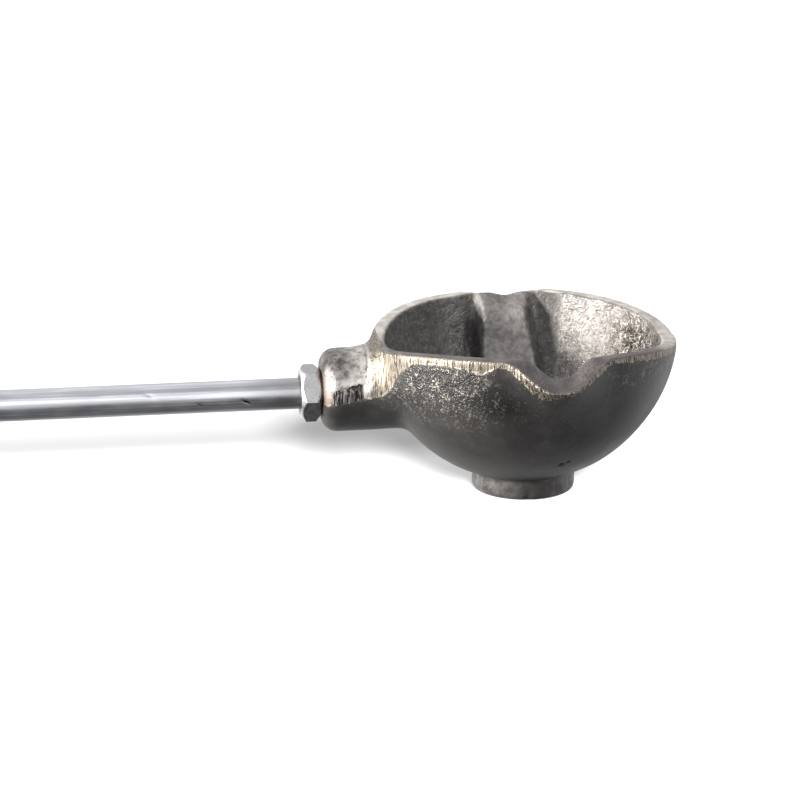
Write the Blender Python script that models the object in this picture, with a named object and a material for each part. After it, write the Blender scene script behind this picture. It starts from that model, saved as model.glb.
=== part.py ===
"""A cast-iron pouring ladle on a steel rod, with a lock nut and a turned wooden grip.

The origin is the centre of the foot's underside. +X runs to the bowl's tip, the handle lies along -X,
the open pouring lip is on the -Y side and the bottom-pour duct is on the +Y side.
"""
import math

import bmesh
import bpy
from mathutils import Matrix, Vector

MM = 0.001
GAP = 0.3 * MM  # clearance between pieces that touch

# Bowl: a hollow half ball on a round foot, cast slightly off the foot's centre
BALL_X = -0.9 * MM
BALL_Z = 42.6 * MM
OUTER_R = 39.4 * MM
INNER_R = 35.4 * MM
FOOT_R = 13.4 * MM
FOOT_EDGE = 0.8 * MM
RIM_EDGE = 0.7 * MM

# Rim line: how far it rises above the ball's middle, and its dips at the tip and at the handle
RIM_RISE = 1.35 * MM
CROWN_RISE = 0.6 * MM
CROWN_ANGLE = math.radians(60)
CROWN_SPREAD = math.radians(35)
TIP_DIP = 4.1 * MM
TIP_FAR_SPREAD = math.radians(22)
TIP_NEAR_SPREAD = math.radians(45)
TIP_BEAK = 0.9 * MM
HANDLE_DIP = 4.1 * MM
HANDLE_DIP_SPREAD = math.radians(34)
RIM_FADE = math.radians(40)  # the rim line's rise and fall dies out this far below the rim

# Pouring lips, one on each side. Widths are the flat and the full half width
LIP_X = -0.5 * MM
LIP_HANDLE_SIDE = (1.5 * MM, 13.0 * MM)
LIP_TIP_SIDE = (1.0 * MM, 16.0 * MM)
LIP_REACH = 5.5 * MM
LIP_DROP = 6.5 * MM
LIP_FADE = math.radians(30)
MOUTH_X = 0.7 * MM
MOUTH_WIDTH = (0.8 * MM, 8.6 * MM)
MOUTH_REACH = 1.5 * MM
MOUTH_DROP = 4.6 * MM
FAR_LIP = (1.5 * MM, 12.0 * MM)
FAR_RISE_WIDTH = (9.0 * MM, 17.0 * MM)
FAR_RISE = 0.5 * MM
FAR_NOTCH = 1.0 * MM
FAR_NOTCH_X = 0.4 * MM
FAR_NOTCH_HALF = 3.2 * MM

# Bottom-pour duct: a baffle stands proud inside, and the wall bulges outside to make room.
# The baffle's widths are given at the rim and low down, on each side
DUCT_X = 1.6 * MM
BAFFLE_TIP_SIDE = ((5.6 * MM, 8.2 * MM), (8.6 * MM, 11.2 * MM))
BAFFLE_HANDLE_SIDE = ((6.2 * MM, 8.6 * MM), (7.4 * MM, 9.4 * MM))
BAFFLE_SPREAD = math.radians(36)
BAFFLE_PROUD = 5.0 * MM
BULGE = 3.2 * MM
DUCT_R = 3.0 * MM
DUCT_INSET = 1.1 * MM
DUCT_LEAN = 3.6 * MM
INLET_TURN = 3.0 * MM
SPOUT_R = 7.5 * MM
SPOUT_START = 2.4 * MM
SPOUT_FLOOR = 4.6 * MM

# Socket boss and the steel rod in it
ROD_Z = 27.7 * MM
ROD_R = 4.0 * MM
BOSS_BOTTOM_Z = 17.6 * MM
BOSS_R = 10.7 * MM
BOSS_END_X = -53.4 * MM
BOSS_EDGE = 3.8 * MM
SOCKET_END_X = -40.0 * MM
NUT_ACROSS_FLATS = 13.0 * MM
NUT_THICK = 5.0 * MM
NUT_TURN = math.radians(4.5)
SHOULDER_X = -190.0 * MM
TANG_R = 3.0 * MM

# Grip
GRIP_LENGTH = 112.0 * MM
NECK_R = 9.0 * MM
NECK_LENGTH = 17.0 * MM
FERRULE_WALL = 1.2 * MM
WASHER_R = 9.0 * MM
WASHER_THICK = 1.6 * MM
CAP_ACROSS_FLATS = 10.0 * MM
CAP_THICK = 5.0 * MM
TAIL_LENGTH = 5.5 * MM  # of the tang, beyond the washer
WAIST_R = 10.9 * MM
BELLY = 3.2 * MM
BULB = 2.9 * MM
END_ROUND = 5.2 * MM

LIP_ANGLE = -math.acos((LIP_X - BALL_X) / OUTER_R)
MOUTH_ANGLE = -math.acos((MOUTH_X - BALL_X) / INNER_R)
DUCT_ANGLE = math.acos((DUCT_X - BALL_X) / OUTER_R)


def clear_scene():
    for old in list(bpy.data.objects):
        bpy.data.objects.remove(old, do_unlink=True)


def new_collection(name):
    collection = bpy.data.collections.new(name)
    bpy.context.scene.collection.children.link(collection)
    return collection


def material(name, colour, roughness, metallic):
    made = bpy.data.materials.new(name)
    made.use_nodes = True
    shader = made.node_tree.nodes["Principled BSDF"]
    shader.inputs["Base Color"].default_value = (*colour, 1.0)
    shader.inputs["Roughness"].default_value = roughness
    shader.inputs["Metallic"].default_value = metallic
    made.diffuse_color = (*colour, 1.0)
    return made


def object_from_bmesh(name, bm, collection, surface=None, origin=(0, 0, 0)):
    """Makes an object whose origin lies at the given point."""
    bmesh.ops.recalc_face_normals(bm, faces=bm.faces)
    bmesh.ops.translate(bm, verts=bm.verts, vec=-Vector(origin))
    mesh = bpy.data.meshes.new(name)
    bm.to_mesh(mesh)
    bm.free()
    mesh.shade_smooth()
    mesh.set_sharp_from_angle(angle=math.radians(35))
    if surface:
        mesh.materials.append(surface)
    made = bpy.data.objects.new(name, mesh)
    made.location = origin
    collection.objects.link(made)
    return made


def loft(rings, start_point=None, end_point=None):
    """Joins equal rings of points with quads, and closes each end with a face or a fan to a point."""
    bm = bmesh.new()
    rows = [[bm.verts.new(p) for p in ring] for ring in rings]
    count = len(rows[0])
    for low, high in zip(rows, rows[1:]):
        for i in range(count):
            j = (i + 1) % count
            bm.faces.new((low[i], low[j], high[j], high[i]))
    for row, point in ((rows[0], start_point), (rows[-1], end_point)):
        if point is None:
            bm.faces.new(row)
            continue
        tip = bm.verts.new(point)
        for i in range(count):
            bm.faces.new((row[i], row[(i + 1) % count], tip))
    return bm


def turned(name, profile, collection, surface, sides, origin):
    """A solid turned about the rod's axis. The profile gives (x, radius) round one closed loop."""
    bm = bmesh.new()
    bm.faces.new([bm.verts.new((x, 0.0, radius)) for x, radius in profile])
    geometry = bm.verts[:] + bm.edges[:] + bm.faces[:]
    bmesh.ops.spin(
        bm, geom=geometry, cent=(0, 0, 0), axis=(1, 0, 0), angle=math.tau, steps=sides, use_duplicate=False
    )
    bmesh.ops.remove_doubles(bm, verts=bm.verts, dist=0.0001 * MM)
    inner_faces = [f for f in bm.faces if len(f.verts) == len(profile) and len(profile) > 4]
    bmesh.ops.delete(bm, geom=inner_faces, context="FACES")
    bmesh.ops.dissolve_degenerate(bm, dist=0.0001 * MM, edges=bm.edges)
    bmesh.ops.translate(bm, verts=bm.verts, vec=(0, 0, ROD_Z))
    return object_from_bmesh(name, bm, collection, surface, origin)


def smooth(t):
    t = min(max(t, 0.0), 1.0)
    return t * t * (3 - 2 * t)


def window(distance, width, right=None):
    """1 inside the flat half width, falling smoothly to 0 at the full one. The right side may differ."""
    flat, half = right if right and distance > 0 else width
    return smooth((half - abs(distance)) / (half - flat))


def turn_between(a, b):
    return (a - b + math.pi) % math.tau - math.pi


def rim_rise(angle):
    """Height of the rim above the ball's middle, at a plan angle."""
    turn = turn_between(angle, 0)
    if turn > 0:
        tip = TIP_DIP * math.exp(-turn / TIP_FAR_SPREAD)
    else:
        tip = TIP_DIP * math.exp(-((turn / TIP_NEAR_SPREAD) ** 2))
    crown = CROWN_RISE * math.exp(-((turn_between(angle, CROWN_ANGLE) / CROWN_SPREAD) ** 2))
    handle = HANDLE_DIP * math.exp(-((turn_between(angle, math.pi) / HANDLE_DIP_SPREAD) ** 2))
    return RIM_RISE + crown - tip - handle


def across(angle, centre, radius):
    """Distance from the plane that halves a lip, on the lip's own side of the bowl."""
    turn = turn_between(angle, centre)
    return radius * math.sin(turn) if abs(turn) < math.pi / 2 else radius


def outer_radius(angle, depth, plan):
    """The ball's radius, swollen around the duct and drawn out at both lips and at the tip."""
    below_lip = max(0.0, 1 - depth / LIP_FADE)
    duct = window(across(angle, DUCT_ANGLE, plan), FAR_LIP)
    swell = BULGE * smooth((math.radians(68) - depth) / math.radians(18))
    swell += (LIP_REACH - BULGE) * below_lip**1.5
    beak = TIP_BEAK * math.exp(-((turn_between(angle, 0) / math.radians(16)) ** 2)) * below_lip
    return OUTER_R + duct * swell + beak


def inner_radius(angle, depth, plan):
    """The ball's inner radius, less the baffle that stands proud of it."""
    spread = smooth(depth / BAFFLE_SPREAD)
    tip_side, handle_side = (
        tuple(high + (low - high) * spread for high, low in zip(*side))
        for side in (BAFFLE_TIP_SIDE, BAFFLE_HANDLE_SIDE)
    )
    baffle = window(across(angle, DUCT_ANGLE, plan), tip_side, handle_side)
    top = smooth((depth + math.radians(5)) / math.radians(16))
    bottom = smooth((math.radians(64) - depth) / math.radians(12))
    return INNER_R - baffle * BAFFLE_PROUD * top * bottom


def far_rim(angle):
    """The far rim stands a little higher over the baffle, with a small notch in its middle."""
    distance = across(angle, DUCT_ANGLE, OUTER_R) + FAR_NOTCH_X
    notch = FAR_NOTCH * math.exp(-((distance / FAR_NOTCH_HALF) ** 2))
    return FAR_RISE * window(distance, FAR_RISE_WIDTH) - notch


def bowl_point(angle, depth, outside):
    """A point of the bowl's outer or inner surface, at a plan angle and a depth angle below the rim."""
    fade = max(0.0, 1 - depth / LIP_FADE)
    if outside:
        plan = OUTER_R * math.cos(depth)
        lip = window(across(angle, LIP_ANGLE, plan), LIP_HANDLE_SIDE, LIP_TIP_SIDE)
        far_lip = window(across(angle, DUCT_ANGLE, plan), FAR_LIP)
        push = lip * LIP_REACH * fade**1.6
        drop = (lip + far_lip) * LIP_DROP * fade**2
        radius = outer_radius(angle, depth, plan)
    else:
        plan = INNER_R * math.cos(depth)
        lip = window(across(angle, MOUTH_ANGLE, plan), MOUTH_WIDTH)
        push = lip * MOUTH_REACH * fade**1.6
        drop = (lip * MOUTH_DROP - far_rim(angle)) * fade**2
        radius = inner_radius(angle, depth, plan)
    plan = radius * math.cos(depth) + push
    rise = rim_rise(angle) * max(0.0, 1 - depth / RIM_FADE) ** 2
    height = BALL_Z - radius * math.sin(depth) - drop + rise
    return Vector((BALL_X + plan * math.cos(angle), plan * math.sin(angle), height))


def plan_angles():
    """Fine steps near the two lips and coarse steps elsewhere."""
    angles = []
    angle = 0.0
    while angle < 360 - 1e-6:
        angles.append(math.radians(angle))
        near = min(abs(turn_between(math.radians(angle), a)) for a in (LIP_ANGLE, DUCT_ANGLE))
        angle += 3 if near < math.radians(24) else 6
    return angles


def foot_ring(angles):
    """Where the foot meets the ball."""
    ring = []
    for a in angles:
        x, y = FOOT_R * math.cos(a), FOOT_R * math.sin(a)
        ring.append((x, y, BALL_Z - math.sqrt(OUTER_R**2 - (x - BALL_X) ** 2 - y**2)))
    return ring


def rim_rings(angles):
    """The land on top of the wall, with small chamfers at both edges."""
    rings = [[bowl_point(a, RIM_EDGE / OUTER_R, True) for a in angles]]
    outer_edge, inner_edge = [], []
    for a in angles:
        outer, inner = bowl_point(a, 0.0, True), bowl_point(a, 0.0, False)
        across_wall = (inner - outer).normalized()
        outer_edge.append(outer + across_wall * RIM_EDGE)
        inner_edge.append(inner - across_wall * RIM_EDGE * 0.6)
    rings += [outer_edge, inner_edge]
    rings.append([bowl_point(a, RIM_EDGE * 0.6 / INNER_R, False) for a in angles])
    return rings


def bowl_shell():
    angles = plan_angles()
    rings = []
    for radius, height in ((FOOT_R - FOOT_EDGE, 0.0), (FOOT_R, FOOT_EDGE)):
        rings.append([(radius * math.cos(a), radius * math.sin(a), height) for a in angles])
    rings.append(foot_ring(angles))
    foot_depth = math.acos(FOOT_R / OUTER_R)
    outer_steps, inner_steps = 13, 15
    for i in range(1, outer_steps):
        rings.append([bowl_point(a, foot_depth * (1 - i / outer_steps), True) for a in angles])
    rings += rim_rings(angles)
    for i in range(1, inner_steps):
        depth = math.radians(90) * i / inner_steps
        rings.append([bowl_point(a, depth, False) for a in angles])
    return loft(rings, None, (BALL_X, 0, BALL_Z - INNER_R))


def ring_about_x(x, centre_z, radius, sides):
    return [
        (x, radius * math.cos(math.tau * i / sides), centre_z + radius * math.sin(math.tau * i / sides))
        for i in range(sides)
    ]


def boss_solid():
    """The socket boss. Its underside runs level into the bowl while it grows upwards and sideways."""
    sides, edge_steps = 32, 4
    rings = []
    for i in range(edge_steps + 1):
        turn = math.radians(90) * i / edge_steps
        radius = BOSS_R - BOSS_EDGE * (1 - math.sin(turn))
        x = BOSS_END_X + BOSS_EDGE * (1 - math.cos(turn))
        rings.append(ring_about_x(x, BOSS_BOTTOM_Z + BOSS_R, radius, sides))
    for length, growth in ((8.0, 0.2), (12.0, 0.5), (16.0, 0.9), (26.0, 0.9)):
        radius = BOSS_R + growth * MM
        x = BOSS_END_X + length * MM
        rings.append(ring_about_x(x, BOSS_BOTTOM_Z + radius, radius, sides))
    return loft(rings)


def wall_ball(collection):
    """A ball inside the bowl's wall, which ends the boss there."""
    bm = bmesh.new()
    middle_r = (OUTER_R + INNER_R) / 2
    bmesh.ops.create_uvsphere(bm, u_segments=48, v_segments=24, radius=middle_r)
    bmesh.ops.translate(bm, verts=bm.verts, vec=(BALL_X, 0, BALL_Z))
    return object_from_bmesh("wall_ball", bm, collection)


def duct_path():
    """The duct's centre line, in plan radius and height, from the bowl's bottom to the far lip."""
    steps = 12
    points = [(11.0 * MM, 17.5 * MM)]
    for i in range(steps + 1):
        depth = math.radians(62) * (1 - i / steps)
        radius = INNER_R + DUCT_INSET + DUCT_LEAN * max(0.0, 1 - depth / math.radians(26)) ** 1.3
        radius -= INLET_TURN * smooth((depth - math.radians(54)) / math.radians(10))
        points.append((radius * math.cos(depth), BALL_Z - radius * math.sin(depth)))
    points.append((INNER_R + 5.2 * MM, BALL_Z + 8.0 * MM))
    return points


def duct_cutter(collection):
    sides = 12
    path = [Vector((r, 0, z)) for r, z in duct_path()]
    rings = []
    for i, point in enumerate(path):
        along = (path[min(i + 1, len(path) - 1)] - path[max(i - 1, 0)]).normalized()
        normal = along.cross(Vector((0, 1, 0))).normalized()
        ring = []
        for k in range(sides):
            turn = math.tau * k / sides
            ring.append(point + DUCT_R * (normal * math.cos(turn) + Vector((0, 1, 0)) * math.sin(turn)))
        rings.append(ring)
    bm = loft(rings)
    bmesh.ops.rotate(bm, verts=bm.verts, cent=(0, 0, 0), matrix=Matrix.Rotation(DUCT_ANGLE, 3, "Z"))
    bmesh.ops.translate(bm, verts=bm.verts, vec=(BALL_X, 0, 0))
    return object_from_bmesh("duct_cutter", bm, collection)


def spout_cutter(collection):
    """Cuts the far lip's trough, outside the baffle's top."""
    bm = bmesh.new()
    length = 20 * MM
    bmesh.ops.create_cone(
        bm, cap_ends=True, segments=28, radius1=SPOUT_R, radius2=SPOUT_R, depth=length,
        matrix=Matrix.Rotation(math.radians(96), 4, "Y"),
    )
    start = INNER_R + SPOUT_START
    floor_z = BALL_Z - SPOUT_FLOOR
    bmesh.ops.translate(bm, verts=bm.verts, vec=(start + length / 2, 0, floor_z + SPOUT_R))
    bmesh.ops.rotate(bm, verts=bm.verts, cent=(0, 0, 0), matrix=Matrix.Rotation(DUCT_ANGLE, 3, "Z"))
    bmesh.ops.translate(bm, verts=bm.verts, vec=(BALL_X, 0, 0))
    return object_from_bmesh("spout_cutter", bm, collection)


def socket_cutter(collection):
    bm = bmesh.new()
    length = SOCKET_END_X - BOSS_END_X + 10 * MM
    bmesh.ops.create_cone(
        bm, cap_ends=True, segments=32, radius1=ROD_R + GAP, radius2=ROD_R + GAP, depth=length,
        matrix=Matrix.Rotation(math.radians(90), 4, "Y"),
    )
    bmesh.ops.translate(bm, verts=bm.verts, vec=(SOCKET_END_X - length / 2, 0, ROD_Z))
    return object_from_bmesh("socket_cutter", bm, collection)


def add_boolean(target, cutter, operation):
    modifier = target.modifiers.new(cutter.name, "BOOLEAN")
    modifier.operation = operation
    modifier.solver = "EXACT"
    modifier.object = cutter


def ladle_head(parts, cutters, iron):
    head = object_from_bmesh("ladle_head", bowl_shell(), parts, iron)
    boss = object_from_bmesh("boss", boss_solid(), cutters)
    add_boolean(boss, wall_ball(cutters), "DIFFERENCE")
    add_boolean(head, boss, "UNION")
    for cutter in (duct_cutter(cutters), spout_cutter(cutters), socket_cutter(cutters)):
        add_boolean(head, cutter, "DIFFERENCE")
    return head


def handle_rod(parts, steel):
    """A steel rod with a thinner tang through the grip."""
    front, tail = SOCKET_END_X - 0.8 * MM, SHOULDER_X - GRIP_LENGTH - WASHER_THICK - TAIL_LENGTH
    profile = [
        (front, 0), (front, ROD_R - 0.8 * MM), (front - 0.8 * MM, ROD_R), (SHOULDER_X, ROD_R),
        (SHOULDER_X, TANG_R), (tail + 0.6 * MM, TANG_R), (tail, TANG_R - 0.6 * MM), (tail, 0),
    ]
    return turned("handle_rod", profile, parts, steel, 32, (BOSS_END_X, 0, ROD_Z))


def hex_prism(name, thick, across_flats, front_x, turn, parts, surface):
    """A nut's plain hexagon about the rod's axis. The other functions trim and bore it."""
    bm = bmesh.new()
    bmesh.ops.create_cone(
        bm, cap_ends=True, segments=6, radius1=across_flats / math.sqrt(3),
        radius2=across_flats / math.sqrt(3), depth=thick,
    )
    bmesh.ops.rotate(bm, verts=bm.verts, cent=(0, 0, 0), matrix=Matrix.Rotation(turn, 3, "Z"))
    bmesh.ops.rotate(bm, verts=bm.verts, cent=(0, 0, 0), matrix=Matrix.Rotation(math.radians(90), 3, "Y"))
    bmesh.ops.translate(bm, verts=bm.verts, vec=(front_x - thick / 2, 0, ROD_Z))
    return object_from_bmesh(name, bm, parts, surface, (front_x, 0, ROD_Z))


def cylinder_cutter(name, collection, radius, front_x, back_x, sides=32):
    bm = bmesh.new()
    bmesh.ops.create_cone(
        bm, cap_ends=True, segments=sides, radius1=radius, radius2=radius, depth=front_x - back_x,
        matrix=Matrix.Rotation(math.radians(90), 4, "Y"),
    )
    bmesh.ops.translate(bm, verts=bm.verts, vec=((front_x + back_x) / 2, 0, ROD_Z))
    return object_from_bmesh(name, bm, collection)


def chamfer_cutter(name, collection, thick, across_flats, front_x, domed=False):
    """The turned body that a nut's hexagon is trimmed to."""
    corner = across_flats / math.sqrt(3) * 1.02
    face = across_flats / 2 * 0.96
    step = (corner - face) * math.tan(math.radians(30))
    back = front_x - thick
    profile = [(front_x, 0), (front_x, face), (front_x - step, corner)]
    profile += [(back + (0 if domed else step), corner)]
    profile += [] if domed else [(back, face)]
    profile += [(back, 0)]
    return turned(name, profile, collection, None, 48, (front_x, 0, ROD_Z))


def lock_nut(parts, cutters, steel):
    front = BOSS_END_X - GAP
    nut = hex_prism("lock_nut", NUT_THICK, NUT_ACROSS_FLATS, front, NUT_TURN, parts, steel)
    add_boolean(nut, chamfer_cutter("nut_chamfer", cutters, NUT_THICK, NUT_ACROSS_FLATS, front), "INTERSECT")
    bore = cylinder_cutter("nut_bore", cutters, ROD_R + GAP, front + 5 * MM, front - NUT_THICK - 5 * MM)
    add_boolean(nut, bore, "DIFFERENCE")
    return nut


def wood_grip(parts, wood):
    """A turned grip with a neck for the ferrule, a full belly and a rounded end."""
    front = SHOULDER_X - GAP
    hole = TANG_R + GAP
    profile = [(front, hole), (front, NECK_R), (front - NECK_LENGTH, NECK_R)]
    steps = 20
    body = GRIP_LENGTH - NECK_LENGTH - GAP
    for i in range(steps + 1):
        t = i / steps
        radius = WAIST_R + BELLY * math.sin(math.pi * min(1, t / 0.78)) ** 1.3 + BULB * smooth((t - 0.62) / 0.3)
        end = max(0.0, (t - 0.93) / 0.07)
        radius -= END_ROUND * (1 - math.sqrt(1 - end * end * 0.98))
        profile.append((front - NECK_LENGTH - body * t, radius))
    profile.append((front - NECK_LENGTH - body, hole))
    return turned("wood_grip", profile, parts, wood, 36, (SHOULDER_X, 0, ROD_Z))


def ferrule(parts, steel):
    front = SHOULDER_X - 0.2 * MM
    back = SHOULDER_X - NECK_LENGTH
    inner, outer = NECK_R + GAP, NECK_R + GAP + FERRULE_WALL
    edge = 0.5 * MM
    profile = [(front, inner), (front, outer - edge), (front - edge, outer)]
    for centre in (0.28, 0.72):
        x = front + (back - front) * centre
        profile += [(x + 0.9 * MM, outer), (x, outer - 0.4 * MM), (x - 0.9 * MM, outer)]
    profile += [(back + edge, outer), (back, outer - edge), (back, inner)]
    return turned("ferrule", profile, parts, steel, 40, (SHOULDER_X, 0, ROD_Z))


def end_washer(parts, steel):
    front = SHOULDER_X - GRIP_LENGTH - GAP - 0.3 * MM
    back = front - WASHER_THICK + 0.6 * MM
    edge = 0.25 * MM
    hole = TANG_R + GAP
    profile = [
        (front, hole), (front, WASHER_R - edge), (front - edge, WASHER_R),
        (back + edge, WASHER_R), (back, WASHER_R - edge), (back, hole),
    ]
    return turned("end_washer", profile, parts, steel, 32, (front, 0, ROD_Z))


def end_cap_nut(parts, cutters, steel):
    front = SHOULDER_X - GRIP_LENGTH - GAP - WASHER_THICK
    nut = hex_prism("end_cap_nut", CAP_THICK, CAP_ACROSS_FLATS, front, 0.0, parts, steel)
    chamfer = chamfer_cutter("cap_chamfer", cutters, CAP_THICK, CAP_ACROSS_FLATS, front, domed=True)
    add_boolean(nut, chamfer, "INTERSECT")
    dome_r = CAP_ACROSS_FLATS / 2 * 0.94
    dome_base = front - CAP_THICK + 0.5 * MM
    profile = [(dome_base, 0), (dome_base, dome_r)]
    profile += [
        (dome_base - 0.5 * MM - dome_r * math.sin(t), dome_r * math.cos(t))
        for t in (math.radians(90) * i / 8 for i in range(8))
    ]
    profile.append((dome_base - 0.5 * MM - dome_r, 0))
    add_boolean(nut, turned("cap_dome", profile, cutters, None, 32, (front, 0, ROD_Z)), "UNION")
    tail = SHOULDER_X - GRIP_LENGTH - WASHER_THICK - TAIL_LENGTH - GAP
    add_boolean(nut, cylinder_cutter("cap_bore", cutters, TANG_R + GAP, front + 3 * MM, tail), "DIFFERENCE")
    return nut


def build():
    clear_scene()
    parts = new_collection("pouring_ladle")
    cutters = new_collection("cutters")
    iron = material("cast_iron", (0.09, 0.085, 0.08), 0.6, 0.6)
    rod_steel = material("rod_steel", (0.45, 0.46, 0.48), 0.3, 1.0)
    zinc = material("zinc_steel", (0.6, 0.6, 0.58), 0.35, 1.0)
    wood = material("hardwood", (0.36, 0.17, 0.07), 0.45, 0.0)
    ladle_head(parts, cutters, iron)
    handle_rod(parts, rod_steel)
    lock_nut(parts, cutters, zinc)
    wood_grip(parts, wood)
    ferrule(parts, zinc)
    end_washer(parts, zinc)
    end_cap_nut(parts, cutters, zinc)
    for cutter in cutters.objects:
        cutter.hide_render = True
        cutter.display_type = "WIRE"


build()
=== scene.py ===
"""The looks of the cast-iron pouring ladle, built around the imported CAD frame.

The origin is the centre of the foot's underside, +X runs to the bowl's tip and the handle lies along -X.
"""
import math

import bpy
import numpy as np
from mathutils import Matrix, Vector, noise


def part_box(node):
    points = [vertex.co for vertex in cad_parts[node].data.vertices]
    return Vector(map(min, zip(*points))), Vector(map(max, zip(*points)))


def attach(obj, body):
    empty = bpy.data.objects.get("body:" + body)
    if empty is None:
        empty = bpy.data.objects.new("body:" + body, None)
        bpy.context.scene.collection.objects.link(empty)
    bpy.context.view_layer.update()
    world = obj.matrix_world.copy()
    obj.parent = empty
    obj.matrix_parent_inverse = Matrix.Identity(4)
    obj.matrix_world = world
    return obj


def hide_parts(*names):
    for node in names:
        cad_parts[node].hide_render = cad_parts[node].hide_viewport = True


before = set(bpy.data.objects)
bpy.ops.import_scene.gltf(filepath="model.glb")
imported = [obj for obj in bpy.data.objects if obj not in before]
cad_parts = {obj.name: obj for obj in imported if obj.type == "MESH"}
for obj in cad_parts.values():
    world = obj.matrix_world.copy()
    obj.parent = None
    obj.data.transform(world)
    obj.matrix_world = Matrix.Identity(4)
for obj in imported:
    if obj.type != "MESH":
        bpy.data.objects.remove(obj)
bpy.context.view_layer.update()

MM = 0.001

# The bowl and boss, in millimetres. They are as the CAD part has them, but for the roundings of the foot's
# and the rim's edges, the crease, and the small beak inside the tip.
BALL_X, BALL_Z = -0.9, 42.6
OUTER_R, INNER_R = 39.4, 35.4
WALL_MIDDLE_R = (OUTER_R + INNER_R) / 2
FOOT_R, FOOT_EDGE = 13.4, 1.1
RIM_EDGE, RIM_RISE = 0.45, 1.35
CROWN_RISE, CROWN_ANGLE, CROWN_SPREAD = 0.6, math.radians(60), math.radians(35)
TIP_DIP, TIP_FAR, TIP_NEAR = 4.1, math.radians(22), math.radians(45)
TIP_BEAK, BEAK_OUTSIDE = 0.9, math.radians(16)
BEAK_ANGLE_INSIDE, BEAK_INSIDE = math.radians(8), math.radians(18)
HANDLE_DIP, HANDLE_SPREAD = 4.1, math.radians(34)
RIM_FADE = math.radians(40)
LIP_X, LIP_REACH, LIP_DROP = -0.5, 5.5, 6.5
LIP_LEFT, LIP_RIGHT = (1.5, 13.0), (1.0, 16.0)  # flat and full half widths on each side
FAR_LIP = (1.5, 12.0)
FAR_RISE, FAR_RISE_WIDTH = 0.5, (9.0, 17.0)
FAR_NOTCH, FAR_NOTCH_X, FAR_NOTCH_HALF = 1.0, 0.4, 3.2
LIP_FADE = math.radians(30)
MOUTH_X, MOUTH_WIDTH, MOUTH_REACH, MOUTH_DROP = 0.7, (0.8, 8.6), 1.5, 4.6
DUCT_X, BAFFLE_PROUD, BULGE = 1.6, 5.0, 3.2
BAFFLE_TIP_SIDE = ((5.6, 8.2), (8.6, 11.2))  # flat and full half widths at the rim, and low down
BAFFLE_HANDLE_SIDE = ((6.2, 8.6), (7.4, 9.4))
BAFFLE_SPREAD = math.radians(36)
CREASE_DEEP, CREASE_AT, CREASE_WIDE = 0.8, 9.8, 1.2  # the groove along the baffle's foot
DUCT_R, DUCT_INSET, DUCT_LEAN, INLET_TURN = 3.0, 1.1, 3.6, 3.0
SPOUT_R, SPOUT_START, SPOUT_FLOOR = 7.5, 2.4, 4.6
BOSS_BOTTOM, BOSS_R, BOSS_EDGE = 17.6, 10.7, 3.8
BOSS_GROWTH = ((8.0, 0.2), (12.0, 0.5), (16.0, 0.9), (26.0, 0.9))  # length along it, and how much wider
LIP_ANGLE = -math.acos((LIP_X - BALL_X) / OUTER_R)
MOUTH_ANGLE = -math.acos((MOUTH_X - BALL_X) / INNER_R)
DUCT_ANGLE = math.acos((DUCT_X - BALL_X) / OUTER_R)


def box_in_mm(node):
    return [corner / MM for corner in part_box(node)]


ROD_LOW, ROD_HIGH = box_in_mm("handle_rod")
HEAD_LOW, HEAD_HIGH = box_in_mm("ladle_head")
ROD_Z = (ROD_LOW.z + ROD_HIGH.z) / 2
ROD_R = (ROD_HIGH.z - ROD_LOW.z) / 2
BOSS_END = HEAD_LOW.x
CLEARANCE = 0.3
TANG_R = 3.0
TANG_HOLE_R = TANG_R + CLEARANCE

# The grip, the ferrule on its neck and the nuts, as the CAD part has them
NECK_R, NECK_LENGTH = 9.0, 17.0
WAIST_R, BELLY, BULB, END_ROUND = 10.9, 3.2, 2.9, 5.2
FERRULE_WALL = 1.2
NUT_ACROSS_FLATS, NUT_TURN = 13.0, math.radians(-25.5)  # where a flat faces, from +Y towards +Z
CAP_ACROSS_FLATS, CAP_THICK, CAP_BORE = 10.0, 5.0, 5.5

# The fine head's grid, and how its boss is blended into the bowl
VOXEL = 0.48
SKIN_ROUNDS, ROOT_ROUNDS = 3, 320
GRAIN_HEIGHT, WAVE_HEIGHT, GRINDING_DEPTH = 0.19, 0.05, 0.10


# Small geometry tools, all in millimetres until the object is made

def smooth(t):
    t = np.clip(t, 0.0, 1.0)
    return t * t * (3 - 2 * t)


def window(distance, width, right=None):
    """1 inside the flat half width, falling smoothly to 0 at the full one. The right side may differ."""
    flat, half = width
    if right is not None:
        flat, half = np.where(distance > 0, right[0], flat), np.where(distance > 0, right[1], half)
    return smooth((half - np.abs(distance)) / (half - flat))


def bell(distance, spread):
    return np.exp(-((distance / spread) ** 2))


def turn_between(a, b):
    return (a - b + math.pi) % math.tau - math.pi


def across(angle, centre, radius):
    """Distance from the upright plane at the centre's angle, on that side of the bowl."""
    turn = turn_between(angle, centre)
    return np.where(np.abs(turn) < math.pi / 2, radius * np.sin(turn), radius)


def mesh_object(name, points, faces, smooth_angle=None):
    mesh = bpy.data.meshes.new(name)
    mesh.from_pydata((np.asarray(points) * MM).tolist(), [], faces)
    mesh.update()
    mesh.shade_smooth()
    if smooth_angle is not None:
        mesh.set_sharp_from_angle(angle=math.radians(smooth_angle))
    made = bpy.data.objects.new(name, mesh)
    bpy.context.scene.collection.objects.link(made)
    return made


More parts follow.
